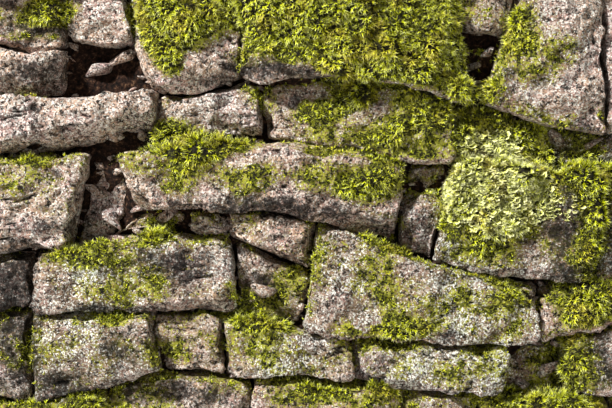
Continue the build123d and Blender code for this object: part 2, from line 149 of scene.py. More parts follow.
def graniteMaterial():
    material, tree = newMaterial("weatheredGranite")
    look = {name: hexColour(value) for name, value in granite.items() if str(value).startswith("#")}
    coords = addNode(tree, "TexCoord", {}, "Object")
    film, hollow, mossCover, lichen = [addNode(tree, "Attribute", {"attribute_name": name}, "Fac")
                                       for name in ("growth", "hollow", "moss", "lichen")]
    tint = addNode(tree, "Attribute", {"attribute_name": "tint"}, "Color")
    clouds = {}
    for name, (size, detail, rough, *stretch) in granite["clouds"].items():
        vector = addNode(tree, "Mapping", {"Scale": stretch[0], "Vector": coords}) if stretch else coords
        clouds[name] = addNode(tree, "TexNoise", {"Scale": 1000 / size, "Detail": detail,
                                                  "Roughness": rough, "Vector": vector})
    cells = {}
    for name, size in granite["cells"].items():
        tones = addNode(tree, "TexVoronoi", {"Scale": 1000 / size, "Vector": coords}, "Color")
        cells[name] = addNode(tree, "SeparateColor", {"Color": tones}).node.outputs

    # The stone itself
    colour, _ = layCoats(tree, look["pinkGrey"], {
        "mottle": (clouds["mottle"], 0.38, 0.62, 1.0, look["buff"]),
        "rust": (clouds["rust"], 0.6, 0.75, 0.45, look["rust"]),
        "foliation": (clouds["foliation"], 0.48, 0.68, 0.75, look["foliationGrey"]),
        "paleCrystals": (cells["crystals"][0], 0.6, 0.9, 0.3, look["feldspar"]),
        "greyCrystals": (cells["crystals"][1], 0.7, 0.9, 0.35, look["quartz"]),
        "paleGrains": (cells["grains"][0], 0.66, 0.8, 0.65, look["feldspar"]),
        "darkGrains": (cells["grains"][1], 0.76, 0.86, 0.7, look["mica"]),
    })
    colour = addNode(tree, "Mix", {**mix, "blend_type": "MULTIPLY", 0: 1.0, 6: colour, 7: tint}, 2)

    # The dark patina of old faces, broken through where the stone has spalled
    worn = addNode(tree, "MapRange", {**smooth, 0: clouds["patina"], 1: 0.38, 2: 0.6, 4: 1.0})
    old = addNode(tree, "MapRange", {**smooth, 0: lichen, 1: 0.15, 2: 0.8, 4: 0.75})
    patina = addNode(tree, "Math", {**times, 0: worn, 1: old})
    colour = addNode(tree, "Mix", {**mix, 0: patina, 6: colour, 7: look["patina"]}, 2)

    # A brown green film of algae round the moss
    patchy = addNode(tree, "MapRange", {**smooth, 0: clouds["film"], 1: 0.3, 2: 0.55, 4: 1.0})
    nearMoss = addNode(tree, "MapRange", {**smooth, 0: film, 1: 0.12, 2: 0.5, 4: 1.0})
    stain = addNode(tree, "Math", {**times, 0: patchy, 1: nearMoss})
    stain = addNode(tree, "Math", {**times, 0: stain, 1: 0.8})
    colour = addNode(tree, "Mix", {**mix, 0: stain, 6: colour, 7: look["film"]}, 2)

    # Lichen lies in drifts. Each pattern is raised by a share of what drives it.
    drift = addNode(tree, "MapRange", {**smooth, 0: clouds["drift"], 1: 0.3, 2: 0.7, 4: 1.0})
    drift = addNode(tree, "Math", {**times, 0: drift, 1: lichen})
    raised = {}
    for name, cause, share in (("specks", drift, 0.18), ("crust", drift, 0.26), ("stipple", film, 0.5),
                               ("torn", mossCover, 0.8)):
        part = addNode(tree, "Math", {**times, 0: cause, 1: share})
        raised[name] = addNode(tree, "Math", {**plus, 0: clouds[name], 1: part})
    # Crumbs of dirt, added to the dirt and painted shade that the skin carries
    crumbs = addNode(tree, "Math", {**times, 0: clouds["crumbs"], 1: 1.6})
    dampDirtAndShade = addNode(tree, "Math", {**times, 0: hollow, 1: 0.5})
    dampDirtAndShade = addNode(tree, "Math", {**plus, 0: dampDirtAndShade, 1: crumbs})

    # The mat that the moss stands in
    mat, _ = layCoats(tree, look["dirtAndShadeColour"], {"mat": (clouds["mat"], 0.44, 0.60, 1.0, look["mossMat"])})
    # Dirt and painted shade darken the mat in hollows, in shaded patches and in the gaps under thick moss
    mat = addNode(tree, "Mix", {**mix, 0: hollow, 6: mat, 7: look["dirtAndShadeColour"]}, 2)

    # Fine pale specks and broader crusts of lichen, the first shoots of moss over them, dirt in the
    # pores, dirt and painted shade in the hollows, and the mat on top
    colour, shares = layCoats(tree, colour, {
        "specks": (raised["specks"], 0.60, 0.62, 1.0, look["crustPale"]),
        "crust": (raised["crust"], 0.76, 0.80, 0.6, look["crustGreen"]),
        "shoots": (raised["stipple"], 0.72, 0.76, 0.9, look["mossBright"]),
        "pores": (clouds["pores"], 0.45, 0.40, 0.95, look["dirtAndShadeColour"]),
        "dirtAndShadeCoat": (dampDirtAndShade, 0.86, 1.36, 0.93, look["dirtAndShadeColour"]),
        "mat": (raised["torn"], 0.92, 1.02, 1.0, mat),
    })

    relief = addNode(tree, "Math", {**times, 0: clouds["relief"], 1: 1.6})
    for how, value, share in (("ADD", clouds["foliation"], 1.2), ("ADD", cells["crystals"][2], 0.2),
                              ("SUBTRACT", shares["pores"], 0.5)):
        part = addNode(tree, "Math", {**times, 0: value, 1: share})
        relief = addNode(tree, "Math", {"operation": how, 0: relief, 1: part})
    bump = addNode(tree, "Bump", {"Strength": 1.0, "Distance": granite["bumpMm"] / 1000,
                                  "Height": relief})
    shader = addNode(tree, "BsdfPrincipled", {"Roughness": granite["roughness"],
                                              "Specular IOR Level": granite["specular"],
                                              "Base Color": colour, "Normal": bump})
    addNode(tree, "OutputMaterial", {"Surface": shader})
    return material


# Damp earth and leaf mould washed into the joints: dark, crumbly and matt
earth = {"dark": "#0a0603", "brown": "#38241a", "pale": "#8c6c50", "crumbMm": 6, "roughness": 0.95,
         "specular": 0.2, "bumpMm": 9.0}


def earthMaterial():
    material, tree = newMaterial("jointEarth")
    coords = addNode(tree, "TexCoord", {}, "Object")
    crumbs = addNode(tree, "TexNoise", {"Scale": 1000 / earth["crumbMm"], "Detail": 5.0,
                                        "Roughness": 0.7, "Vector": coords})
    stops = [(0.40, hexColour(earth["dark"])), (0.56, hexColour(earth["brown"])),
             (0.72, hexColour(earth["pale"]))]
    tone = addNode(tree, "ValToRGB", {"stops": stops, "Fac": crumbs})
    bump = addNode(tree, "Bump", {"Strength": 1.0, "Distance": earth["bumpMm"] / 1000,
                                  "Height": crumbs})
    shader = addNode(tree, "BsdfPrincipled", {"Roughness": earth["roughness"],
                                              "Specular IOR Level": earth["specular"],
                                              "Base Color": tone, "Normal": bump})
    addNode(tree, "OutputMaterial", {"Surface": shader})
    return material


# Moss: thin soft leaves, yellow green where the light reaches the tips, with a painted highlight in the pale
# tip colour, and near black at the root, painted shade
moss = {
    "root": "#0a0a01", "middle": "#e2e806", "tip": "#ffffc0", "dry": "#ccae48", "pale": "#f4f2c4",
    "roughness": 0.65, "specular": 0.12, "dullest": 0.05, "brightest": 3.2, "cushionShadeMm": 24, "dryMm": 38,
    "featherLength": 0.0105, "tuftLength": 0.0052, "padLength": 0.0062, "pads": 5000,
    "shownFeathers": 36000, "shownTufts": 30000, "otherFeathers": 15000, "otherTufts": 20000,
    "otherFeatherScale": 1.2, "otherTuftScale": 1.8, "featherFrom": 0.6, "featherRamp": 0.2,
    "scatter": 0.0012, "sink": 0.0008, "hiddenDepth": 0.05, "endRoom": 0.02,
}


def mossMaterial():
    material, tree = newMaterial("featherMoss")
    coords = addNode(tree, "TexCoord", {}, "Object")
    along, tone, pale = [addNode(tree, "Attribute", {"attribute_name": name}, "Fac")
                         for name in ("along", "tone", "pale")]
    dryClouds, cushionShadeClouds = [
        addNode(tree, "TexNoise", {"Scale": 1000 / moss[size], "Detail": detail, "Roughness": 0.6,
                                   "Vector": coords})
        for size, detail in (("dryMm", 4.0), ("cushionShadeMm", 2.0))]
    stops = [(0.18, hexColour(moss["root"])), (0.50, hexColour(moss["middle"])),
             (1.0, hexColour(moss["tip"]))]
    colour = addNode(tree, "ValToRGB", {"stops": stops, "Fac": along})

    # Dry and pale shoots, most at their tips
    dry = addNode(tree, "MapRange", {**smooth, 0: dryClouds, 1: 0.47, 2: 0.66, 4: 0.8})
    for amount, name in ((dry, "dry"), (pale, "pale")):
        share = addNode(tree, "Math", {**times, 0: amount, 1: along})
        colour = addNode(tree, "Mix", {**mix, 0: share, 6: colour, 7: hexColour(moss[name])}, 2)

    # Each shoot's own tone, with painted shade in the dips between the cushions
    shade = addNode(tree, "MapRange", {0: tone, 3: moss["dullest"], 4: moss["brightest"]})
    cushionShade = addNode(tree, "MapRange", {0: cushionShadeClouds, 1: 0.3, 2: 0.7, 3: 0.6, 4: 1.0})
    brightness = addNode(tree, "Math", {**times, 0: shade, 1: cushionShade})
    brightness = addNode(tree, "Math", {"operation": "MINIMUM", 0: brightness, 1: 1.0})
    colour = addNode(tree, "HueSaturation", {"Color": colour, "Value": brightness})
    shader = addNode(tree, "BsdfPrincipled", {"Roughness": moss["roughness"],
                                              "Specular IOR Level": moss["specular"],
                                              "Base Color": colour})
    addNode(tree, "OutputMaterial", {"Surface": shader})
    return material


materials = {"granite": graniteMaterial(), "earth": earthMaterial(), "moss": mossMaterial()}
print("materials made")

# Where moss lies on the shown stretch: x, z, half width, half height, strength, in metres
mossPatches = [
    (-0.19, 0.965, 0.06, 0.05, 1.0), (-0.10, 0.985, 0.08, 0.033, 1.0), (-0.03, 0.945, 0.05, 0.04, 0.95),
    (0.07, 0.965, 0.145, 0.05, 1.0), (0.10, 0.905, 0.16, 0.04, 0.95), (0.00, 0.905, 0.045, 0.022, 0.9),
    (0.19, 0.87, 0.08, 0.05, 0.75), (-0.195, 0.915, 0.030, 0.03, 0.85), (0.30, 0.925, 0.035, 0.05, 0.70),
    (-0.16, 0.785, 0.075, 0.026, 0.85), (0.10, 0.80, 0.12, 0.03, 0.60), (0.17, 0.775, 0.06, 0.03, 0.66),
    (0.03, 0.82, 0.05, 0.03, 0.55), (0.07, 0.853, 0.03, 0.022, 0.85), (0.335, 0.915, 0.05, 0.05, 0.48),
    (-0.20, 0.75, 0.07, 0.030, 0.60), (-0.02, 0.74, 0.13, 0.025, 0.56), (0.10, 0.73, 0.06, 0.025, 0.7),
    (0.28, 0.79, 0.08, 0.045, 0.72), (0.27, 0.71, 0.10, 0.06, 0.76), (0.25, 0.64, 0.06, 0.04, 0.56),
    (0.36, 0.66, 0.05, 0.05, 0.5), (0.10, 0.665, 0.05, 0.02, 0.66), (0.39, 0.565, 0.05, 0.04, 0.8),
    (-0.22, 0.60, 0.15, 0.05, 0.40), (-0.30, 0.49, 0.14, 0.06, 0.54), (-0.30, 0.625, 0.09, 0.02, 0.52),
    (0.06, 0.575, 0.12, 0.07, 0.47), (0.12, 0.53, 0.14, 0.02, 0.54), (0.22, 0.575, 0.12, 0.04, 0.46),
    (-0.07, 0.49, 0.13, 0.04, 0.52), (-0.24, 0.43, 0.07, 0.02, 0.5), (0.36, 0.47, 0.06, 0.07, 0.55),
    (-0.07, 0.56, 0.06, 0.05, 0.55), (-0.40, 0.72, 0.05, 0.05, 0.42), (0.17, 0.47, 0.12, 0.03, 0.42),
    (0.33, 0.42, 0.10, 0.02, 0.62), (0.05, 0.43, 0.12, 0.02, 0.5), (-0.36, 0.87, 0.06, 0.015, 0.5),
    (-0.39, 0.965, 0.07, 0.02, 0.66), (-0.40, 0.76, 0.05, 0.012, 0.5), (-0.06, 0.85, 0.03, 0.03, 0.5),
    (0.395, 0.70, 0.04, 0.11, 0.78), (0.36, 0.80, 0.06, 0.02, 0.7), (-0.40, 0.935, 0.05, 0.01, 0.6),
    (-0.21, 0.66, 0.03, 0.02, 0.6), (-0.30, 0.415, 0.12, 0.01, 0.6),
]

# The least growth on the lower stones of the shown stretch
thinGrowth = 0.36

# Where painted shade, under overhangs and in recesses, with some earth and damp, darkens the stones: x, z,
# half width, half height, strength
shadeAndEarthPatches = [
    (-0.385, 0.878, 0.055, 0.03, 0.75), (-0.41, 0.54, 0.045, 0.11, 1.0), (-0.39, 0.945, 0.06, 0.025, 0.8),
    (-0.33, 0.44, 0.10, 0.03, 0.8), (-0.25, 0.50, 0.05, 0.04, 0.65), (-0.20, 0.615, 0.13, 0.032, 0.75),
    (0.20, 0.62, 0.10, 0.02, 0.5), (0.03, 0.64, 0.06, 0.03, 0.5), (0.30, 0.655, 0.07, 0.02, 0.7),
    (-0.065, 0.889, 0.055, 0.016, 1.0), (-0.12, 0.875, 0.05, 0.008, 0.8), (-0.06, 0.698, 0.14, 0.018, 0.85),
    (-0.24, 0.435, 0.06, 0.02, 0.8), (-0.35, 0.67, 0.07, 0.014, 0.7),
    (0.38, 0.68, 0.06, 0.13, 0.9), (0.39, 0.47, 0.05, 0.06, 0.8), (-0.20, 0.435, 0.10, 0.02, 0.8),
    (0.25, 0.945, 0.04, 0.03, 0.4), (-0.06, 0.56, 0.05, 0.04, 0.8), (0.17, 0.66, 0.04, 0.04, 0.6),
    (-0.26, 0.555, 0.14, 0.012, 0.7), (0.09, 0.885, 0.20, 0.012, 0.7), (0.02, 0.685, 0.18, 0.012, 0.7),
    (0.14, 0.52, 0.16, 0.012, 0.6), (-0.30, 0.44, 0.12, 0.012, 0.7), (-0.38, 0.63, 0.06, 0.015, 0.7),
]

# Where the moss gives way to a pale leafy liverwort: x, z, half width, half height
palePatches = [(0.265, 0.715, 0.09, 0.060), (0.26, 0.775, 0.05, 0.03), (0.345, 0.69, 0.04, 0.03)]


def reachOf(x, z, patch):
    # How far out in an oval patch a place lies: 0 in its middle, 1 on its rim.
    return ((x - patch[0]) / patch[2]) ** 2 + ((z - patch[1]) / patch[3]) ** 2


def shadeAndEarthAt(place):
    # How far painted shade, with some earth and damp, darkens a place, from 0 to 1.
    if not isShown(place):
        return 0.0
    best = 0.0
    for patch in shadeAndEarthPatches:
        best = max(best, patch[4] * (1.3 - reachOf(place.x, place.z, patch) * 0.6))
    return smoothstep(0.35, 1.1, best + noise.noise(place / 0.03) * 0.4)


def isShown(place):
    return place.y < -0.05 and abs(place.x) < shown["halfWidth"] and place.z > shown["bottom"]


def mossAt(place, normal):
    # How thickly moss grows at a place, from 0 to 1.
    broad = noise.fractal(place * 14, 0.8, 2.0, 3)
    upward = max(0.0, normal.z)
    under = max(0.0, -normal.z)
    if isShown(place) and place.z < 1.0:
        best = thinGrowth * smoothstep(0.80, 0.62, place.z)
        for patch in mossPatches:
            best = max(best, patch[4] * (1.15 - reachOf(place.x, place.z, patch) * 0.45))
        return min(1.0, max(0.0, best + broad * 0.35 + upward * 0.2 - 0.08 - under * 0.6))
    height = min(1.0, place.z / wall["height"])
    drift = noise.noise(place * 5 + Vector((4, 1, 8))) * 0.35
    return min(1.0, max(0.0, broad * 0.8 + drift + upward * 0.25 + height * 0.3 + 0.08 - under * 0.8))


# How each stone's surface is broken, in metres
surface = {
    "bendReach": 0.009, "bendSize": 0.085,
    "formDepth": 0.010, "formSize": 0.070,
    "lumpDepth": 0.0070, "lumpSize": 0.034,
    "scarDepth": 0.0070, "scarSize": 0.028,
    "layerDepth": 0.0026, "layerSize": 0.012, "crackDepth": 0.0060,
    "chipDepth": 0.010, "chipSize": 0.032,
    "wanderSize": 0.05, "splitSize": 0.09, "crackSize": 0.045, "shootSize": 0.0045,
    "jointOpening": 0.0016, "hiddenAngle": 0.06,
    "cushionDepth": 0.011, "cushionSize": 0.022, "tuftSize": 0.010,
    "showsTo": 0.045, "hiddenFrom": 0.060, "darkest": 1.0, "mossGapShade": 0.9,
}

# A stone is dressed as shells, one behind the other, that are finer the nearer they lie to the face:
# voxel, nearest and furthest depth behind the stone's face. The plain tail follows them.
shells = {
    "shown": [(0.0029, None, 0.018), (0.0062, 0.015, 0.052)],
    "front": [(0.0072, None, 0.028)],
    "back": [(0.0092, None, 0.028)],
}
crossingVoxel = 0.0112
tailShape = {"slimX": 0.97, "slimZ": 0.95, "overlap": 0.004}

# Each named stone: shade, warmth, lichen, how layered, dip of its layers in degrees.
# The others draw theirs.
stoneLooks = {
    "top_left_block": (1.12, 0.03, 0.35, 0.9, -4), "mossy_boulder": (0.92, 0.02, 0.3, 0.5, 0),
    "round_boulder": (1.05, 0.04, 0.55, 0.5, 3), "layered_slab": (1.10, 0.01, 0.35, 1.1, 2),
    "cracked_stone": (1.02, 0.02, 0.4, 0.6, -5), "left_layered_stone": (1.04, 0.02, 0.5, 1.5, 1),
    "long_central_stone": (1.0, 0.05, 0.3, 1.0, -3), "slanted_wedge": (0.92, 0.02, 0.5, 0.5, 30),
    "mossy_block": (0.98, 0.04, 0.8, 0.7, -2), "broad_left_stone": (0.82, 0.06, 0.75, 1.0, -2),
    "striated_stone": (1.06, 0.07, 0.2, 1.6, -14), "broad_right_stone": (0.85, 0.05, 0.85, 0.8, -12),
    "lichened_stone": (0.84, 0.03, 0.6, 0.8, 0), "level_stone": (0.92, 0.03, 0.8, 0.9, 0),
    "long_lower_stone": (1.0, -0.03, 0.9, 1.2, -5),
}


def looseStones(node):
    # Each solid of a CAD node as a mesh of its own, with its corners merged.
    whole = bmesh.new()
    whole.from_mesh(node.data)
    bmesh.ops.remove_doubles(whole, verts=whole.verts, dist=1e-6)
    whole.verts.index_update()
    solid = {}
    count = 0
    for seed in whole.verts:
        if seed.index in solid:
            continue
        edge = [seed]
        while edge:
            vert = edge.pop()
            if vert.index not in solid:
                solid[vert.index] = count
                edge += [e.other_vert(vert) for e in vert.link_edges]
        count += 1
    stones = []
    for number in range(count):
        stone = bmesh.new()
        made = {v.index: stone.verts.new(v.co) for v in whole.verts if solid[v.index] == number}
        for face in whole.faces:
            if solid[face.verts[0].index] == number:
                stone.faces.new([made[v.index] for v in face.verts])
        stones.append(stone)
    whole.free()
    return stones


def remeshed(stone, voxel):
    # The stone as an even skin of small quads.
    mesh = bpy.data.meshes.new("block")
    stone.to_mesh(mesh)
    holder = addObject("block", mesh)
    modifier = holder.modifiers.new("skin", "REMESH")
    modifier.mode = "VOXEL"
    modifier.voxel_size = voxel
    graph = bpy.context.evaluated_depsgraph_get()
    result = bmesh.new()
    result.from_mesh(holder.evaluated_get(graph).data)
    bpy.data.objects.remove(holder)
    bpy.data.meshes.remove(mesh)
    return result


def cornersOf(stone):
    places = np.array([v.co for v in stone.verts])
    return Vector(places.min(0)), Vector(places.max(0))


def everything(bm):
    return bm.verts[:] + bm.edges[:] + bm.faces[:]


def depthOf(place):
    # How far a place lies behind the leaning face of its side.
    return wall["baseHalf"] - slope * place.z - abs(place.y)


def clip(bm, depth, facing, keepBehind=False):
    # Keeps what lies before a depth behind the leaning face, or what lies behind it.
    bmesh.ops.bisect_plane(bm, geom=everything(bm), plane_co=(0, facing * (depth - wall["baseHalf"]), 0),
                           plane_no=(0, facing, -slope), clear_outer=not keepBehind,
                           clear_inner=keepBehind)


def closeHoles(bm):
    bmesh.ops.holes_fill(bm, edges=[e for e in bm.edges if e.is_boundary], sides=0)


def shellOf(stone, voxel, near, far, facing):
    # The skin of a stone between two depths, open towards what lies before and behind.
    block = stone.copy()
    clip(block, far + voxel * 2, facing)
    if near is not None:
        clip(block, near - voxel * 2, facing, True)
    closeHoles(block)
    skin = remeshed(block, voxel)
    block.free()
    clip(skin, far, facing)
    if near is not None:
        clip(skin, near, facing, True)
    return skin


def tailOf(stone, near, facing):
    # The plain rest of a stone behind its shells, a little slimmer than they are.
    tail = stone.copy()
    clip(tail, near, facing, True)
    closeHoles(tail)
    low, high = cornersOf(tail)
    middle = (low + high) / 2
    for vert in tail.verts:
        vert.co.x = middle.x + (vert.co.x - middle.x) * tailShape["slimX"]
        vert.co.z = middle.z + (vert.co.z - middle.z) * tailShape["slimZ"]
    return tail


def bent(place):
    # The same slow wander for every stone, so that straight joints bend and still stay closed.
    edge = min(wall["length"] / 2 - abs(place.x), place.z, abs(cadBox[1].z - place.z))
    reach = surface["bendReach"] * smoothstep(0.0, 0.06, edge)
    p = place / surface["bendSize"]
    return place + Vector((noise.noise(p + Vector((5, 0, 2))), 0, noise.noise(p + Vector((1, 7, 0))))) * reach


def markLayers(bm):
    return {name: bm.verts.layers.float.new(name) for name in ("moss", "growth", "hollow", "lichen", "area")}


def depthInside(place):
    # How far a place lies behind the nearest outer face of the wall.
    if place.z > wall["height"] + wall["bedding"]:
        return 0.0
    return min(depthOf(place), wall["length"] / 2 - abs(place.x))


def roughen(skin, shift, look, outward, voxel, isCrossing=False):
    # Breaks a skin into forms, scars, split layers and chips, and marks what grows on it.
    lichen, layered, dip = look[2:]
    lean = math.tan(math.radians(dip))
    layers = markLayers(skin)
    hidden = []
    skin.normal_update()
    state = [(v, v.co.copy(), v.normal.copy()) for v in skin.verts]
    for vert, place, normal in state:
        shows = 1 - smoothstep(surface["showsTo"], surface["hiddenFrom"], depthInside(place))
        if shows == 0 and isCrossing:
            vert.co = bent(place) - normal * surface["jointOpening"]
            hidden.append(vert)
            continue
        p = place + shift
        facing = abs(normal.dot(outward))
        side = smoothstep(0.75, 0.25, facing)
        arris = max(0.0, 1 - abs(facing - 0.5) * 2)
        form = noise.noise(p / surface["formSize"]) * surface["formDepth"]
        lump = noise.fractal(p / surface["lumpSize"], 0.75, 2.2, 4) * surface["lumpDepth"]
        scar = (noise.voronoi(p / surface["scarSize"])[0][0] - 0.45) * surface["scarDepth"]
        level = (p.z - p.x * lean) / surface["layerSize"] + noise.noise(p / surface["wanderSize"]) * 1.2
        split = noise.noise(Vector((p.x / surface["splitSize"], p.y / surface["splitSize"], level)))
        layer = split * surface["layerDepth"] * layered
        torn = smoothstep(-0.15, 0.35, noise.noise(p / surface["crackSize"]))
        crack = smoothstep(0.08, 0.0, abs(split)) * torn
        crack *= surface["crackDepth"] * layered
        chip = smoothstep(0.22, 0.6, noise.noise(p / surface["chipSize"] + Vector((7, 3, 1))))
        chip *= surface["chipDepth"] * (0.25 + 0.75 * arris)
        wander = 1.2 + 1.2 * noise.noise(p / surface["wanderSize"])
        opening = side * surface["jointOpening"] * wander
        out = (form + lump + scar) * (1 - 0.6 * side) + layer - crack - chip - opening
        place = bent(place)
        growth = mossAt(place, normal)
        broken = noise.noise(place / surface["tuftSize"]) * 0.3
        broken += noise.noise(place / surface["shootSize"]) * 0.2
        cover = smoothstep(0.44, 0.64, growth + broken)
        cushion = smoothstep(0.62, 0.95, growth) * cover
        swell = 0.9 + 0.8 * noise.noise(place / surface["cushionSize"])
        vert.co = place + normal * (out + cushion * surface["cushionDepth"] * swell)
        vert.co.z = max(vert.co.z, 0)
        vert[layers["moss"]] = cover
        vert[layers["growth"]] = growth
        # Darker in cracks and chips: dirt with painted shade
        hollow = smoothstep(0.001, 0.006, crack + chip * 0.5 - scar - lump * 0.6)
        # Painted shade under overhangs and in recesses, with some earth, from the listed patches
        hollow = max(hollow, shadeAndEarthAt(place) * surface["darkest"]) * (1 - cover)
        # Painted shade in the gaps between the shoots of thick moss darkens the ground under it
        gapShade = surface["mossGapShade"] * smoothstep(0.55, 0.95, growth) if isShown(place) else 0
        vert[layers["hollow"]] = hollow + cover * gapShade
        vert[layers["lichen"]] = lichen * (0.6 + 0.9 * noise.noise(place * 11 + Vector((3, 9, 4))))
        vert[layers["area"]] = voxel * voxel
    if hidden:
        inside = set(hidden)
        edges = [e for e in skin.edges if e.verts[0] in inside and e.verts[1] in inside]
        bmesh.ops.dissolve_limit(skin, angle_limit=surface["hiddenAngle"], verts=hidden, edges=edges)


def makePiece(name, parts, material, nodeNames=()):
    # Joins finished meshes into one piece. Each part comes with its tint.
    whole = bmesh.new()
    tints = []
    for part, tint in parts:
        mesh = bpy.data.meshes.new("part")
        part.to_mesh(mesh)
        tints += [tint] * len(mesh.vertices)
        whole.from_mesh(mesh)
        bpy.data.meshes.remove(mesh)
        part.free()
    mesh = bpy.data.meshes.new(name)
    whole.to_mesh(mesh)
    whole.free()
    colours = mesh.attributes.new("tint", "FLOAT_COLOR", "POINT")
    colours.data.foreach_set("color", np.array(tints, np.float32).ravel())
    mesh.polygons.foreach_set("use_smooth", [True] * len(mesh.polygons))
    mesh.materials.append(material)
    piece = addObject(name, mesh)
    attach(piece, "root")
    if nodeNames:
        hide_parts(*nodeNames)
    return piece


def tintOf(shade, warmth):
    return (shade * (1 + warmth), shade, shade * (1 - warmth), 1)


chance = random.Random(3)
pieces = []
for nodeName in sorted(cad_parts):
    if "hearting" in nodeName:
        continue
    parts = []
    facing = -1 if nodeName.startswith("back") else 1
    isFace = nodeName.startswith(("back", "front")) or nodeName in stoneLooks
    for stone in looseStones(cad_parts[nodeName]):
        low, high = cornersOf(stone)
        shift = Vector([chance.uniform(-9, 9) for _ in range(3)])
        drawn = (chance.uniform(0.82, 1.1), chance.uniform(-0.03, 0.06), chance.uniform(0.1, 0.9),
                 chance.uniform(0.4, 1.3), chance.uniform(-8, 8))
        look = stoneLooks.get(nodeName, drawn)
        atEnd = max(abs(low.x), abs(high.x)) > wall["length"] / 2 - wall["endMargin"]
        inView = (facing > 0 and low.x < shown["halfWidth"] and high.x > -shown["halfWidth"]
                  and high.z > shown["bottom"] and isFace)
        kind = "shown" if inView else ("front" if facing > 0 else "back")
        tint = tintOf(look[0], look[1])
        if isFace and not atEnd:
            faceDepth = min(depthOf(v.co) for v in stone.verts)
            for voxel, near, far in shells[kind]:
                nearDepth = None if near is None else faceDepth + near
                skin = shellOf(stone, voxel * (1), nearDepth, faceDepth + far, facing)
                roughen(skin, shift, look, Vector((0, 1, 0)), voxel)
                closeHoles(skin)
                parts.append((skin, tint))
            tail = tailOf(stone, faceDepth + shells[kind][-1][2] - tailShape["overlap"], facing)
            markLayers(tail)
            parts.append((tail, tint))
        else:
            skin = remeshed(stone, crossingVoxel)
            outward = Vector((0, 0, 1)) if nodeName == "cap_stones" else Vector((0, 1, 0))
            roughen(skin, shift, look, outward, crossingVoxel, True)
            parts.append((skin, tint))
        stone.free()
    pieces.append(makePiece("dressed_" + nodeName, parts, materials["granite"],
                            [nodeName]))
print("stones dressed", sum(len(p.data.polygons) for p in pieces), "faces")


def surfaceTree(chosen):
    # All surfaces of some pieces, to be struck by rays.
    verts, faces = [], []
    for piece in chosen:
        mesh = piece.data
        co = np.zeros(len(mesh.vertices) * 3, np.float32)
        mesh.vertices.foreach_get("co", co)
        base = len(verts)
        verts += co.reshape(-1, 3).tolist()
        faces += [[base + i for i in polygon.vertices] for polygon in mesh.polygons]
    return BVHTree.FromPolygons(verts, faces)


def depthAt(tree, x, z, direction, most=0.12):
    # How far behind the wall's face plane a ray from outside first strikes.
    hit = tree.ray_cast(Vector((x, direction * 1.0, z)), Vector((0, -direction, 0)))[0]
    return min(most, depthOf(hit)) if hit else most


# Earth lies in the joints a little way behind the stones round it. Chips are pinned into wide gaps.
bank = {"cell": 0.014, "back": 0.058, "reach": 2, "roughness": 0.016, "thickness": 0.02,
        "endRoom": 0.075, "lowest": 0.008, "headRoom": 0.01}
chips = {"tries": 6000, "deeper": 0.026, "slack": 0.006, "least": 0.005, "most": 0.017, "growth": 1.25,
         "wide": 1.6, "spacing": 1.1, "seat": 0.35, "endRoom": 0.03, "lowest": 0.015, "headRoom": 0.02}


def windows(values, reach):
    # A grid of values and its shifted copies, within some cells each way.
    padded = np.pad(values, reach, mode="edge")
    rows, columns = values.shape
    steps = range(2 * reach + 1)
    return [padded[i:i + rows, j:j + columns] for i in steps for j in steps]


def nearest(depths, reach):
    # Each cell's smallest depth within some cells round it, smoothed.
    views = windows(np.minimum.reduce(windows(depths, reach)), reach)
    return sum(views) / len(views)


def layEarth(side, direction, tree):
    halfLength = wall["length"] / 2 - bank["endRoom"]
    columns = int(halfLength * 2 / bank["cell"])
    rows = int((wall["height"] - 2 * bank["headRoom"]) / bank["cell"])
    xs = np.linspace(-halfLength, halfLength, columns)
    zs = np.linspace(bank["lowest"], wall["height"] - bank["headRoom"], rows)
    depths = np.array([[depthAt(tree, x, z, direction) for x in xs] for z in zs])
    level = nearest(depths, bank["reach"])
    bed = bmesh.new()
    growthLayer = bed.verts.layers.float.new("growth")
    mossLayer = bed.verts.layers.float.new("moss")
    areaLayer = bed.verts.layers.float.new("area")
    grid = []
    for row, z in enumerate(zs):
        line = []
        for column, x in enumerate(xs):
            place = Vector((x, direction * (wall["baseHalf"] - slope * z), z))
            back = level[row, column] + bank["back"] + noise.noise(place / 0.025) * bank["roughness"]
            growth = mossAt(place, Vector((0, direction, 0)))
            place.y -= direction * back
            vert = bed.verts.new(bent(place))
            vert[growthLayer] = growth
            vert[mossLayer] = smoothstep(0.5, 0.7, growth + noise.noise(place / 0.012) * 0.3)
            vert[areaLayer] = bank["cell"] ** 2
            line.append(vert)
        grid.append(line)
    for lower, upper in zip(grid, grid[1:]):
        for a, b, c, d in zip(lower, lower[1:], upper[1:], upper):
            bed.faces.new((a, b, c, d) if direction < 0 else (d, c, b, a))
    grown = bmesh.ops.extrude_edge_only(bed, edges=[e for e in bed.edges if e.is_boundary])["geom"]
    for vert in (g for g in grown if isinstance(g, bmesh.types.BMVert)):
        vert.co.y = direction * bank["thickness"]
    closeHoles(bed)
    bmesh.ops.recalc_face_normals(bed, faces=bed.faces)
    return makePiece("joint_earth_" + side, [(bed, (1, 1, 1, 1))], materials["earth"])


def chipOf(place, radius, pick):
    # A flat angular chip of stone.
    chip = bmesh.new()
    turn = pick.uniform(-0.5, 0.5)
    for _ in range(9):
        corner = Vector([pick.gauss(0, 1) for _ in range(3)]).normalized()
        corner = Vector((corner.x * 1.5, corner.y, corner.z * 0.8)) * radius
        corner.z += corner.x * turn
        chip.verts.new(place + corner)
    shell = bmesh.ops.convex_hull(chip, input=chip.verts)
    bmesh.ops.delete(chip, geom=shell["geom_interior"] + shell["geom_unused"], context="VERTS")
    bmesh.ops.bevel(chip, geom=chip.edges[:], offset=radius * 0.08, segments=1, profile=0.5,
                    affect="EDGES", material=-1)
    return chip


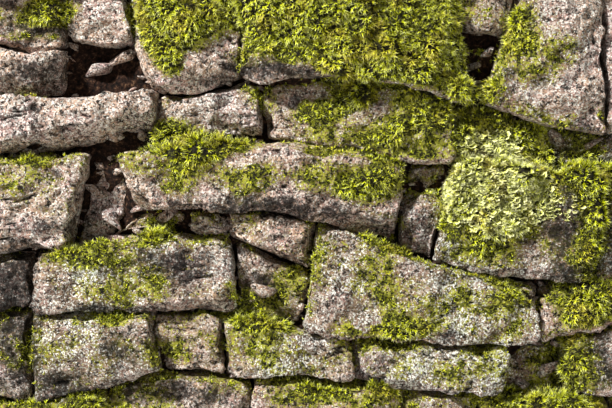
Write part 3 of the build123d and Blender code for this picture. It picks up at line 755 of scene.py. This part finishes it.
def pinChips(side, direction, tree, seed):
    pick = random.Random(seed)
    chosen = []
    parts = []
    for _ in range(chips["tries"]):
        x = pick.uniform(-wall["length"] / 2 + chips["endRoom"], wall["length"] / 2 - chips["endRoom"])
        z = pick.uniform(chips["lowest"], wall["height"] - chips["headRoom"])
        depth = depthAt(tree, x, z, direction)
        if depth < chips["deeper"]:
            continue
        radius = chips["least"]
        while radius < chips["most"] and all(
                depthAt(tree, x + radius * chips["wide"] * math.cos(a), z + radius * math.sin(a), direction)
                > chips["deeper"] - chips["slack"] for a in (0, 1.57, 3.14, 4.71)):
            radius *= chips["growth"]
        if any(math.dist((x, z), other[:2]) < (radius + other[2]) * chips["spacing"] for other in chosen):
            continue
        chosen.append((x, z, radius))
        back = wall["baseHalf"] - slope * z - depth + radius * chips["seat"]
        tint = tintOf(pick.uniform(0.6, 1.0), pick.uniform(-0.02, 0.06))
        parts.append((chipOf(Vector((x, direction * back, z)), radius, pick), tint))
    print(len(parts), "chips", side)
    return makePiece("pinning_chips_" + side, parts, materials["granite"])


growing = list(pieces)
for side, direction in (("front", -1), ("back", 1)):
    stonesOfSide = [p for p in pieces if not p.name.startswith("dressed_back" if direction < 0 else
                                                                "dressed_front")]
    soil = layEarth(side, direction, surfaceTree(stonesOfSide))
    growing.append(soil)
    pinChips(side, direction, surfaceTree(stonesOfSide + [soil]), 7)
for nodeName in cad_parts:
    if "hearting" in nodeName:
        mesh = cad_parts[nodeName].data
        mesh.materials.clear()
        mesh.materials.append(materials["earth"])
print("joints filled")


def featherShape():
    # A frond of unit length along +Y with leaflets either side. +Z looks away from the stone.
    points = [(-0.07, 0, 0), (0.07, 0, 0), (0, 1.0, 0.35)]
    faces = [(0, 1, 2)]
    for side, along, reach in ((-1, 0.15, 0.34), (1, 0.35, 0.28)):
        first = len(points)
        points += [(0, along, 0.05 + 0.1 * along), (0, along + 0.14, 0.08 + 0.12 * along),
                   (side * reach, along + 0.45, 0.24 + 0.1 * along)]
        faces.append((first, first + 1, first + 2) if side < 0 else (first + 1, first, first + 2))
    return np.array(points, np.float32), np.array(faces)


def tuftShape():
    # A small cushion of upright shoots, seen as a few blades fanned round +Z.
    points, faces = [], []
    for step in range(3):
        angle = step * 2.1
        reach = 0.45 + 0.2 * step
        across = (-math.sin(angle) * 0.17, math.cos(angle) * 0.17)
        tip = (math.cos(angle) * reach, math.sin(angle) * reach, 1.1 - 0.25 * step)
        first = len(points)
        points += [(across[0], across[1], 0), (-across[0], -across[1], 0), tip]
        faces.append((first, first + 1, first + 2))
    return np.array(points, np.float32), np.array(faces)


def padShape():
    # A flat lobed leaf of unit length that lies on the stone with its rim lifted.
    points, faces = [(0, 0, 0)], []
    for step in range(6):
        angle = -1.15 + step * 0.46
        reach = 0.8 + 0.2 * (step % 2)
        points.append((math.sin(angle) * reach * 0.8, math.cos(angle) * reach, 0.25 + 0.12 * (step % 2)))
        if step:
            faces.append((0, step + 1, step))
    return np.array(points, np.float32), np.array(faces)


# Where a point of the ground keeps its growth and its planting weight, after its place and normal
growthColumn, weightColumn = 6, 7


def mossGround(chosen):
    # Places, normals, growth and planting weight of every point that moss can stand on.
    rows = []
    for piece in chosen:
        mesh = piece.data
        count = len(mesh.vertices)
        co, no = np.zeros(count * 3, np.float32), np.zeros(count * 3, np.float32)
        mesh.vertices.foreach_get("co", co)
        mesh.vertices.foreach_get("normal", no)
        values = {}
        for name in ("growth", "moss", "area"):
            values[name] = np.zeros(count, np.float32)
            mesh.attributes[name].data.foreach_get("value", values[name])
        rows.append(np.column_stack([co.reshape(-1, 3), no.reshape(-1, 3), values["growth"],
                                     values["moss"] * values["area"]]))
    ground = np.concatenate(rows)
    behind = wall["baseHalf"] - slope * ground[:, 2] - np.abs(ground[:, 1])
    inside = np.abs(ground[:, 0]) < wall["length"] / 2 - moss["endRoom"]
    hidden = (behind > moss["hiddenDepth"]) & inside & (ground[:, 2] < wall["height"])
    ground[hidden, weightColumn] = 0
    return ground


def paleShare(places):
    # How far the moss at each place gives way to its pale leafy kind, from 0 to 1.
    share = np.zeros(len(places))
    for patch in palePatches:
        reach = reachOf(places[:, 0], places[:, 2], patch)
        share = np.maximum(share, np.clip(1.1 - reach, 0, 1) * (places[:, 1] < 0))
    return share


def thickMoss(ground):
    # How well feather moss likes each point: not in thin growth, fully in thick.
    return np.clip((ground[:, growthColumn] - moss["featherFrom"]) / moss["featherRamp"], 0, 1)


def plantMoss(name, shape, wanted, length, seed, ground, taste, paleOften=0.7):
    # Sets shoots over the ground as one joined mesh. Taste says how likely each place is.
    pick = np.random.default_rng(seed)
    weight = ground[:, weightColumn] * taste
    index = pick.choice(len(ground), wanted, p=weight / weight.sum())
    outs = ground[index, 3:6]
    roots = ground[index, 0:3] + pick.normal(0, moss["scatter"], (wanted, 3)) - outs * moss["sink"]
    down = np.array((0.1, 0, -1.0)) + pick.normal(0, 0.7, (wanted, 3))
    along = down - outs * (down * outs).sum(1, keepdims=True)
    along /= np.linalg.norm(along, axis=1, keepdims=True)
    lifted = along + outs * pick.uniform(0.15, 1.3, (wanted, 1))
    lifted /= np.linalg.norm(lifted, axis=1, keepdims=True)
    across = np.cross(lifted, outs)
    across /= np.linalg.norm(across, axis=1, keepdims=True)
    up = np.cross(across, lifted)
    size = length * (0.55 + 0.7 * ground[index, growthColumn]) * pick.uniform(0.6, 1.25, wanted)
    size = size[:, None, None]
    points, faces = shape
    verts = roots[:, None] + size * (points[None, :, 0:1] * across[:, None]
                                     + points[None, :, 1:2] * lifted[:, None]
                                     + points[None, :, 2:3] * up[:, None])
    verts[:, :, 2] = np.maximum(verts[:, :, 2], 0)
    allFaces = faces[None] + (np.arange(wanted) * len(points))[:, None, None]
    mesh = bpy.data.meshes.new(name)
    mesh.from_pydata(verts.reshape(-1, 3).tolist(), [], allFaces.reshape(-1, 3).tolist())
    fromRoot = np.linalg.norm(points, axis=1)
    pale = (pick.uniform(0, 1, wanted) < paleShare(roots) * paleOften) * pick.uniform(0.3, 0.95, wanted)
    tone = np.maximum(pick.uniform(0, 1, wanted) ** 1.7, pale * 0.22)
    values = {"along": np.tile(fromRoot / fromRoot.max(), wanted),
              "tone": np.repeat(tone, len(points)),
              "pale": np.repeat(pale, len(points))}
    for attribute, numbers in values.items():
        layer = mesh.attributes.new(attribute, "FLOAT", "POINT")
        layer.data.foreach_set("value", numbers.astype(np.float32))
    mesh.materials.append(materials["moss"])
    piece = addObject(name, mesh)
    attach(piece, "root")


ground = mossGround(growing)
inShown = ((ground[:, 1] < -0.05) & (np.abs(ground[:, 0]) < shown["halfWidth"])
           & (ground[:, 2] > shown["bottom"]) & (ground[:, 2] < wall["height"]))
shownGround = ground[inShown]
plantMoss("feather_moss_shown", featherShape(), moss["shownFeathers"], moss["featherLength"], 4,
          shownGround, thickMoss(shownGround))
plantMoss("tuft_moss_shown", tuftShape(), moss["shownTufts"], moss["tuftLength"], 5,
          shownGround, np.clip(1.2 - shownGround[:, growthColumn], 0.06, 1))
plantMoss("leafy_moss_shown", padShape(), moss["pads"], moss["padLength"], 8,
          shownGround, paleShare(shownGround), 4)
other = ground[~inShown]
plantMoss("feather_moss_elsewhere", featherShape(), moss["otherFeathers"],
          moss["featherLength"] * moss["otherFeatherScale"], 6, other, thickMoss(other))
plantMoss("tuft_moss_elsewhere", tuftShape(), moss["otherTufts"],
          moss["tuftLength"] * moss["otherTuftScale"], 7, other, other[:, growthColumn])
print("moss planted")
triangles = {o.name: sum(len(f.vertices) - 2 for f in o.data.polygons) for o in collection.objects
             if o.type == "MESH"}
print("triangles", sum(triangles.values()), sorted(triangles.items(), key=lambda i: -i[1])[:12])

# Studio: a pale floor, one strong lamp from the upper left, one behind, and an even pale surround
studio = {"floor": "#d8d6d2", "floorSize": 12, "roughness": 0.7, "specular": 0.3,
          "surround": (0.94, 0.95, 0.97, 1), "fill": 0.22}
lamps = {
    "keyLamp": ((-2.9, -2.5, 4.3), 0.45, 575),
    "backLamp": ((2.6, 3.4, 3.4), 1.6, 160),
}
plate = bmesh.new()
bmesh.ops.create_grid(plate, x_segments=1, y_segments=1, size=studio["floorSize"])
mesh = bpy.data.meshes.new("studio_floor")
plate.to_mesh(mesh)
plate.free()
floor = addObject("studio_floor", mesh)
floorMaterial, tree = newMaterial("paleFloor")
shader = addNode(tree, "BsdfPrincipled", {"Roughness": studio["roughness"],
                                          "Specular IOR Level": studio["specular"],
                                          "Base Color": hexColour(studio["floor"])})
addNode(tree, "OutputMaterial", {"Surface": shader})
mesh.materials.append(floorMaterial)

for name, (place, size, energy) in lamps.items():
    lamp = addObject(name, bpy.data.lights.new(name, "AREA"))
    lamp.data.size = size
    lamp.data.energy = energy
    lamp.location = place
    lamp.rotation_euler = (Vector((0, 0, 0.6)) - Vector(place)).to_track_quat("-Z", "Y").to_euler()

world = bpy.data.worlds.new("studio")
bpy.context.scene.world = world
world.use_nodes = True
tree = world.node_tree
tree.nodes.clear()
seen = addNode(tree, "LightPath", {}, "Is Camera Ray")
strength = addNode(tree, "MapRange", {"To Min": studio["fill"], "To Max": 1.0, "Value": seen})
background = addNode(tree, "Background", {"Color": studio["surround"], "Strength": strength})
addNode(tree, "OutputWorld", {"Surface": background})

# The camera looks straight at the leaning face, as the photograph does
view = {"aim": Vector((0, -0.232, 0.70)), "distance": 1.55, "width": 0.857}
batter = math.atan(slope)
outward = Vector((0, -math.cos(batter), math.sin(batter)))
camera = addObject("camera", bpy.data.cameras.new("camera"))
camera.location = view["aim"] + outward * view["distance"]
camera.rotation_euler = (-outward).to_track_quat("-Z", "Y").to_euler()
camera.data.sensor_width = 36
camera.data.lens = 36 * view["distance"] / view["width"]
bpy.context.scene.camera = camera
bpy.context.scene.view_settings.view_transform = "Standard"
print("studio set")
